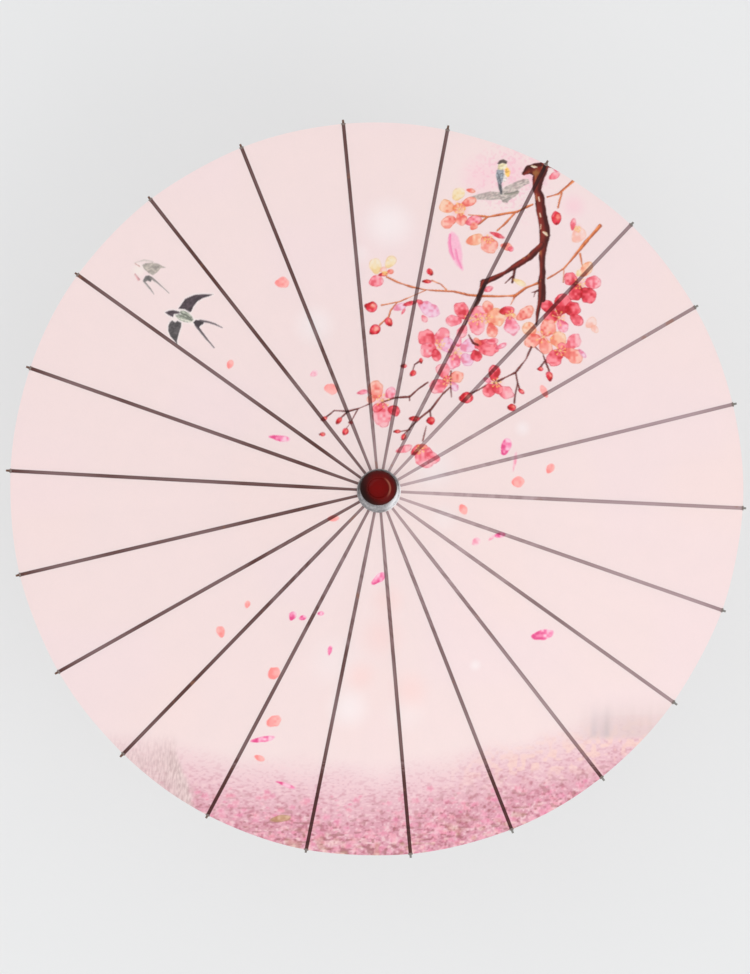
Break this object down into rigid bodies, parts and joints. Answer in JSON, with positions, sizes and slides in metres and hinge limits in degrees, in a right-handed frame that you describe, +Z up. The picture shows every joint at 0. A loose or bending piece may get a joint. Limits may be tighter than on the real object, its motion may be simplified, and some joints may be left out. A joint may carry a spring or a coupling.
{
  "type": "oil paper umbrella",
  "caption": "Folding umbrella with a translucent printed paper canopy on hinged bamboo ribs and stretchers, a sliding runner and a spring catch.",
  "frame": {"origin": "centre of the grip's flat lower end", "axes": "+Z up the shaft towards the cap, +X along rib_00, the umbrella open"},
  "size_m": [0.8408, 0.8334, 0.5411],
  "materials": {
    "bamboo": "split bamboo, dyed dark, fine lengthwise grain",
    "turned_wood": "turned wood, oiled",
    "red_lacquer": "deep red gloss lacquer",
    "oiled_paper": "translucent oiled paper with a printed blossom branch",
    "grey_metal": "dull spun grey metal",
    "steel_wire": "drawn steel wire"
  },
  "bodies": {
    "root": {"shaft": "bamboo", "grip": "turned_wood", "grip_peg": "bamboo", "top_hub": "turned_wood", "hub_peg": "bamboo", "hub_wire": "steel_wire", "collar": "grey_metal", "cap": "red_lacquer", "canopy": "oiled_paper", "catch_pin": "steel_wire"},
    "rib_00": {"rib_00": "bamboo"},
    "rib_01": {"rib_01": "bamboo"},
    "rib_02": {"rib_02": "bamboo"},
    "rib_03": {"rib_03": "bamboo"},
    "rib_04": {"rib_04": "bamboo"},
    "rib_05": {"rib_05": "bamboo"},
    "rib_06": {"rib_06": "bamboo"},
    "rib_07": {"rib_07": "bamboo"},
    "rib_08": {"rib_08": "bamboo"},
    "rib_09": {"rib_09": "bamboo"},
    "rib_10": {"rib_10": "bamboo"},
    "rib_11": {"rib_11": "bamboo"},
    "rib_12": {"rib_12": "bamboo"},
    "rib_13": {"rib_13": "bamboo"},
    "rib_14": {"rib_14": "bamboo"},
    "rib_15": {"rib_15": "bamboo"},
    "rib_16": {"rib_16": "bamboo"},
    "rib_17": {"rib_17": "bamboo"},
    "rib_18": {"rib_18": "bamboo"},
    "rib_19": {"rib_19": "bamboo"},
    "rib_20": {"rib_20": "bamboo"},
    "rib_21": {"rib_21": "bamboo"},
    "stretcher_00": {"stretcher_00": "bamboo"},
    "stretcher_01": {"stretcher_01": "bamboo"},
    "stretcher_02": {"stretcher_02": "bamboo"},
    "stretcher_03": {"stretcher_03": "bamboo"},
    "stretcher_04": {"stretcher_04": "bamboo"},
    "stretcher_05": {"stretcher_05": "bamboo"},
    "stretcher_06": {"stretcher_06": "bamboo"},
    "stretcher_07": {"stretcher_07": "bamboo"},
    "stretcher_08": {"stretcher_08": "bamboo"},
    "stretcher_09": {"stretcher_09": "bamboo"},
    "stretcher_10": {"stretcher_10": "bamboo"},
    "stretcher_11": {"stretcher_11": "bamboo"},
    "stretcher_12": {"stretcher_12": "bamboo"},
    "stretcher_13": {"stretcher_13": "bamboo"},
    "stretcher_14": {"stretcher_14": "bamboo"},
    "stretcher_15": {"stretcher_15": "bamboo"},
    "stretcher_16": {"stretcher_16": "bamboo"},
    "stretcher_17": {"stretcher_17": "bamboo"},
    "stretcher_18": {"stretcher_18": "bamboo"},
    "stretcher_19": {"stretcher_19": "bamboo"},
    "stretcher_20": {"stretcher_20": "bamboo"},
    "stretcher_21": {"stretcher_21": "bamboo"},
    "runner": {"runner": "turned_wood", "runner_wire": "steel_wire"},
    "catch": {"catch_spring": "steel_wire"}
  },
  "joints": [
    {"name": "fold", "type": "hinge", "parent": "root", "child": "rib_00", "pos_m": [0.016, 0, 0.52], "axis": [0, 1, 0], "range_deg": [0, 66], "deforming": ["canopy", "catch_spring"]},
    {"name": "rib_01_turn", "type": "hinge", "parent": "root", "child": "rib_01", "pos_m": [0.01535, 0.00451, 0.52], "axis": [-0.2817, 0.9595, 0], "range_deg": [0, 66]},
    {"name": "rib_02_turn", "type": "hinge", "parent": "root", "child": "rib_02", "pos_m": [0.01346, 0.00865, 0.52], "axis": [-0.5406, 0.8413, 0], "range_deg": [0, 66]},
    {"name": "rib_03_turn", "type": "hinge", "parent": "root", "child": "rib_03", "pos_m": [0.01048, 0.01209, 0.52], "axis": [-0.7557, 0.6549, 0], "range_deg": [0, 66]},
    {"name": "rib_04_turn", "type": "hinge", "parent": "root", "child": "rib_04", "pos_m": [0.00665, 0.01455, 0.52], "axis": [-0.9096, 0.4154, 0], "range_deg": [0, 66]},
    {"name": "rib_05_turn", "type": "hinge", "parent": "root", "child": "rib_05", "pos_m": [0.00228, 0.01584, 0.52], "axis": [-0.9898, 0.1423, 0], "range_deg": [0, 66]},
    {"name": "rib_06_turn", "type": "hinge", "parent": "root", "child": "rib_06", "pos_m": [-0.00228, 0.01584, 0.52], "axis": [-0.9898, -0.1423, 0], "range_deg": [0, 66]},
    {"name": "rib_07_turn", "type": "hinge", "parent": "root", "child": "rib_07", "pos_m": [-0.00665, 0.01455, 0.52], "axis": [-0.9096, -0.4154, 0], "range_deg": [0, 66]},
    {"name": "rib_08_turn", "type": "hinge", "parent": "root", "child": "rib_08", "pos_m": [-0.01048, 0.01209, 0.52], "axis": [-0.7557, -0.6549, 0], "range_deg": [0, 66]},
    {"name": "rib_09_turn", "type": "hinge", "parent": "root", "child": "rib_09", "pos_m": [-0.01346, 0.00865, 0.52], "axis": [-0.5406, -0.8413, 0], "range_deg": [0, 66]},
    {"name": "rib_10_turn", "type": "hinge", "parent": "root", "child": "rib_10", "pos_m": [-0.01535, 0.00451, 0.52], "axis": [-0.2817, -0.9595, 0], "range_deg": [0, 66]},
    {"name": "rib_11_turn", "type": "hinge", "parent": "root", "child": "rib_11", "pos_m": [-0.016, 0, 0.52], "axis": [0, -1, 0], "range_deg": [0, 66]},
    {"name": "rib_12_turn", "type": "hinge", "parent": "root", "child": "rib_12", "pos_m": [-0.01535, -0.00451, 0.52], "axis": [0.2817, -0.9595, 0], "range_deg": [0, 66]},
    {"name": "rib_13_turn", "type": "hinge", "parent": "root", "child": "rib_13", "pos_m": [-0.01346, -0.00865, 0.52], "axis": [0.5406, -0.8413, 0], "range_deg": [0, 66]},
    {"name": "rib_14_turn", "type": "hinge", "parent": "root", "child": "rib_14", "pos_m": [-0.01048, -0.01209, 0.52], "axis": [0.7557, -0.6549, 0], "range_deg": [0, 66]},
    {"name": "rib_15_turn", "type": "hinge", "parent": "root", "child": "rib_15", "pos_m": [-0.00665, -0.01455, 0.52], "axis": [0.9096, -0.4154, 0], "range_deg": [0, 66]},
    {"name": "rib_16_turn", "type": "hinge", "parent": "root", "child": "rib_16", "pos_m": [-0.00228, -0.01584, 0.52], "axis": [0.9898, -0.1423, 0], "range_deg": [0, 66]},
    {"name": "rib_17_turn", "type": "hinge", "parent": "root", "child": "rib_17", "pos_m": [0.00228, -0.01584, 0.52], "axis": [0.9898, 0.1423, 0], "range_deg": [0, 66]},
    {"name": "rib_18_turn", "type": "hinge", "parent": "root", "child": "rib_18", "pos_m": [0.00665, -0.01455, 0.52], "axis": [0.9096, 0.4154, 0], "range_deg": [0, 66]},
    {"name": "rib_19_turn", "type": "hinge", "parent": "root", "child": "rib_19", "pos_m": [0.01048, -0.01209, 0.52], "axis": [0.7557, 0.6549, 0], "range_deg": [0, 66]},
    {"name": "rib_20_turn", "type": "hinge", "parent": "root", "child": "rib_20", "pos_m": [0.01346, -0.00865, 0.52], "axis": [0.5406, 0.8413, 0], "range_deg": [0, 66]},
    {"name": "rib_21_turn", "type": "hinge", "parent": "root", "child": "rib_21", "pos_m": [0.01535, -0.00451, 0.52], "axis": [0.2817, 0.9595, 0], "range_deg": [0, 66]},
    {"name": "stretcher_00_turn", "type": "hinge", "parent": "rib_00", "child": "stretcher_00", "pos_m": [0.1967, 0, 0.46129], "axis": [0, 1, 0], "range_deg": [-132, 0]},
    {"name": "stretcher_01_turn", "type": "hinge", "parent": "rib_01", "child": "stretcher_01", "pos_m": [0.18873, 0.05542, 0.46129], "axis": [-0.2817, 0.9595, 0], "range_deg": [-132, 0]},
    {"name": "stretcher_02_turn", "type": "hinge", "parent": "rib_02", "child": "stretcher_02", "pos_m": [0.16548, 0.10634, 0.46129], "axis": [-0.5406, 0.8413, 0], "range_deg": [-132, 0]},
    {"name": "stretcher_03_turn", "type": "hinge", "parent": "rib_03", "child": "stretcher_03", "pos_m": [0.12881, 0.14866, 0.46129], "axis": [-0.7557, 0.6549, 0], "range_deg": [-132, 0]},
    {"name": "stretcher_04_turn", "type": "hinge", "parent": "rib_04", "child": "stretcher_04", "pos_m": [0.08171, 0.17893, 0.46129], "axis": [-0.9096, 0.4154, 0], "range_deg": [-132, 0]},
    {"name": "stretcher_05_turn", "type": "hinge", "parent": "rib_05", "child": "stretcher_05", "pos_m": [0.02799, 0.1947, 0.46129], "axis": [-0.9898, 0.1423, 0], "range_deg": [-132, 0]},
    {"name": "stretcher_06_turn", "type": "hinge", "parent": "rib_06", "child": "stretcher_06", "pos_m": [-0.02799, 0.1947, 0.46129], "axis": [-0.9898, -0.1423, 0], "range_deg": [-132, 0]},
    {"name": "stretcher_07_turn", "type": "hinge", "parent": "rib_07", "child": "stretcher_07", "pos_m": [-0.08171, 0.17893, 0.46129], "axis": [-0.9096, -0.4154, 0], "range_deg": [-132, 0]},
    {"name": "stretcher_08_turn", "type": "hinge", "parent": "rib_08", "child": "stretcher_08", "pos_m": [-0.12881, 0.14866, 0.46129], "axis": [-0.7557, -0.6549, 0], "range_deg": [-132, 0]},
    {"name": "stretcher_09_turn", "type": "hinge", "parent": "rib_09", "child": "stretcher_09", "pos_m": [-0.16548, 0.10634, 0.46129], "axis": [-0.5406, -0.8413, 0], "range_deg": [-132, 0]},
    {"name": "stretcher_10_turn", "type": "hinge", "parent": "rib_10", "child": "stretcher_10", "pos_m": [-0.18873, 0.05542, 0.46129], "axis": [-0.2817, -0.9595, 0], "range_deg": [-132, 0]},
    {"name": "stretcher_11_turn", "type": "hinge", "parent": "rib_11", "child": "stretcher_11", "pos_m": [-0.1967, 0, 0.46129], "axis": [0, -1, 0], "range_deg": [-132, 0]},
    {"name": "stretcher_12_turn", "type": "hinge", "parent": "rib_12", "child": "stretcher_12", "pos_m": [-0.18873, -0.05542, 0.46129], "axis": [0.2817, -0.9595, 0], "range_deg": [-132, 0]},
    {"name": "stretcher_13_turn", "type": "hinge", "parent": "rib_13", "child": "stretcher_13", "pos_m": [-0.16548, -0.10634, 0.46129], "axis": [0.5406, -0.8413, 0], "range_deg": [-132, 0]},
    {"name": "stretcher_14_turn", "type": "hinge", "parent": "rib_14", "child": "stretcher_14", "pos_m": [-0.12881, -0.14866, 0.46129], "axis": [0.7557, -0.6549, 0], "range_deg": [-132, 0]},
    {"name": "stretcher_15_turn", "type": "hinge", "parent": "rib_15", "child": "stretcher_15", "pos_m": [-0.08171, -0.17893, 0.46129], "axis": [0.9096, -0.4154, 0], "range_deg": [-132, 0]},
    {"name": "stretcher_16_turn", "type": "hinge", "parent": "rib_16", "child": "stretcher_16", "pos_m": [-0.02799, -0.1947, 0.46129], "axis": [0.9898, -0.1423, 0], "range_deg": [-132, 0]},
    {"name": "stretcher_17_turn", "type": "hinge", "parent": "rib_17", "child": "stretcher_17", "pos_m": [0.02799, -0.1947, 0.46129], "axis": [0.9898, 0.1423, 0], "range_deg": [-132, 0]},
    {"name": "stretcher_18_turn", "type": "hinge", "parent": "rib_18", "child": "stretcher_18", "pos_m": [0.08171, -0.17893, 0.46129], "axis": [0.9096, 0.4154, 0], "range_deg": [-132, 0]},
    {"name": "stretcher_19_turn", "type": "hinge", "parent": "rib_19", "child": "stretcher_19", "pos_m": [0.12881, -0.14866, 0.46129], "axis": [0.7557, 0.6549, 0], "range_deg": [-132, 0]},
    {"name": "stretcher_20_turn", "type": "hinge", "parent": "rib_20", "child": "stretcher_20", "pos_m": [0.16548, -0.10634, 0.46129], "axis": [0.5406, 0.8413, 0], "range_deg": [-132, 0]},
    {"name": "stretcher_21_turn", "type": "hinge", "parent": "rib_21", "child": "stretcher_21", "pos_m": [0.18873, -0.05542, 0.46129], "axis": [0.2817, 0.9595, 0], "range_deg": [-132, 0]},
    {"name": "runner_turn", "type": "hinge", "parent": "stretcher_00", "child": "runner", "pos_m": [0.016, 0, 0.40257], "axis": [0, 1, 0], "range_deg": [0, 66]},
    {"name": "catch_press", "type": "hinge", "parent": "root", "child": "catch", "pos_m": [0.0005, 0, 0.3], "axis": [0, -1, 0], "range_deg": [0, 4], "stiffness_Nm_per_rad": 0.02}
  ],
  "couplings": [
    {"joint": "rib_01_turn", "follows": "fold", "ratio": 1},
    {"joint": "rib_02_turn", "follows": "fold", "ratio": 1},
    {"joint": "rib_03_turn", "follows": "fold", "ratio": 1},
    {"joint": "rib_04_turn", "follows": "fold", "ratio": 1},
    {"joint": "rib_05_turn", "follows": "fold", "ratio": 1},
    {"joint": "rib_06_turn", "follows": "fold", "ratio": 1},
    {"joint": "rib_07_turn", "follows": "fold", "ratio": 1},
    {"joint": "rib_08_turn", "follows": "fold", "ratio": 1},
    {"joint": "rib_09_turn", "follows": "fold", "ratio": 1},
    {"joint": "rib_10_turn", "follows": "fold", "ratio": 1},
    {"joint": "rib_11_turn", "follows": "fold", "ratio": 1},
    {"joint": "rib_12_turn", "follows": "fold", "ratio": 1},
    {"joint": "rib_13_turn", "follows": "fold", "ratio": 1},
    {"joint": "rib_14_turn", "follows": "fold", "ratio": 1},
    {"joint": "rib_15_turn", "follows": "fold", "ratio": 1},
    {"joint": "rib_16_turn", "follows": "fold", "ratio": 1},
    {"joint": "rib_17_turn", "follows": "fold", "ratio": 1},
    {"joint": "rib_18_turn", "follows": "fold", "ratio": 1},
    {"joint": "rib_19_turn", "follows": "fold", "ratio": 1},
    {"joint": "rib_20_turn", "follows": "fold", "ratio": 1},
    {"joint": "rib_21_turn", "follows": "fold", "ratio": 1},
    {"joint": "stretcher_00_turn", "follows": "fold", "ratio": -2},
    {"joint": "stretcher_01_turn", "follows": "fold", "ratio": -2},
    {"joint": "stretcher_02_turn", "follows": "fold", "ratio": -2},
    {"joint": "stretcher_03_turn", "follows": "fold", "ratio": -2},
    {"joint": "stretcher_04_turn", "follows": "fold", "ratio": -2},
    {"joint": "stretcher_05_turn", "follows": "fold", "ratio": -2},
    {"joint": "stretcher_06_turn", "follows": "fold", "ratio": -2},
    {"joint": "stretcher_07_turn", "follows": "fold", "ratio": -2},
    {"joint": "stretcher_08_turn", "follows": "fold", "ratio": -2},
    {"joint": "stretcher_09_turn", "follows": "fold", "ratio": -2},
    {"joint": "stretcher_10_turn", "follows": "fold", "ratio": -2},
    {"joint": "stretcher_11_turn", "follows": "fold", "ratio": -2},
    {"joint": "stretcher_12_turn", "follows": "fold", "ratio": -2},
    {"joint": "stretcher_13_turn", "follows": "fold", "ratio": -2},
    {"joint": "stretcher_14_turn", "follows": "fold", "ratio": -2},
    {"joint": "stretcher_15_turn", "follows": "fold", "ratio": -2},
    {"joint": "stretcher_16_turn", "follows": "fold", "ratio": -2},
    {"joint": "stretcher_17_turn", "follows": "fold", "ratio": -2},
    {"joint": "stretcher_18_turn", "follows": "fold", "ratio": -2},
    {"joint": "stretcher_19_turn", "follows": "fold", "ratio": -2},
    {"joint": "stretcher_20_turn", "follows": "fold", "ratio": -2},
    {"joint": "stretcher_21_turn", "follows": "fold", "ratio": -2},
    {"joint": "runner_turn", "follows": "fold", "ratio": 1}
  ]
}
